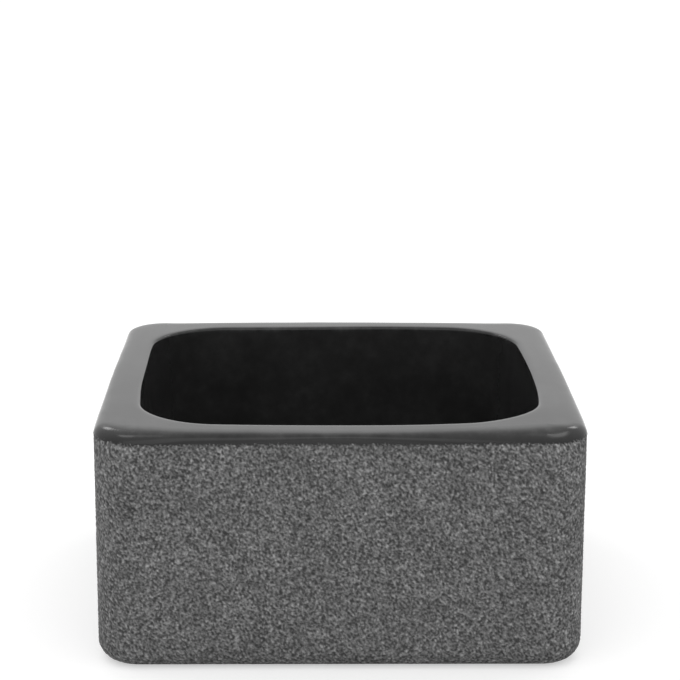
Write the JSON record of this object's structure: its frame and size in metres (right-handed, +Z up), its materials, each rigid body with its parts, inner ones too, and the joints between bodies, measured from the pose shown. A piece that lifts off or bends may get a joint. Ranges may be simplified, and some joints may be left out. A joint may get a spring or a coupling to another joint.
{
  "type": "stone sink",
  "caption": "Square sink carved from a block of dark stone, with a honed rim and bowl, rough pecked outer walls and a round drain hole in the sloping floor.",
  "frame": {"origin": "on the flat underside, at the centre of the block's plan, on the axis of the drain hole", "axes": "+Z up out of the bowl along the axis of the drain hole; X and Y square to the outer walls; the block is alike on all four sides"},
  "size_m": [0.3, 0.3, 0.15],
  "materials": {
    "stone": "honed satin on the rim and in the bowl, pecked and matt on the outer walls"
  },
  "bodies": {
    "root": {"stone_basin": "stone"}
  },
  "joints": []
}
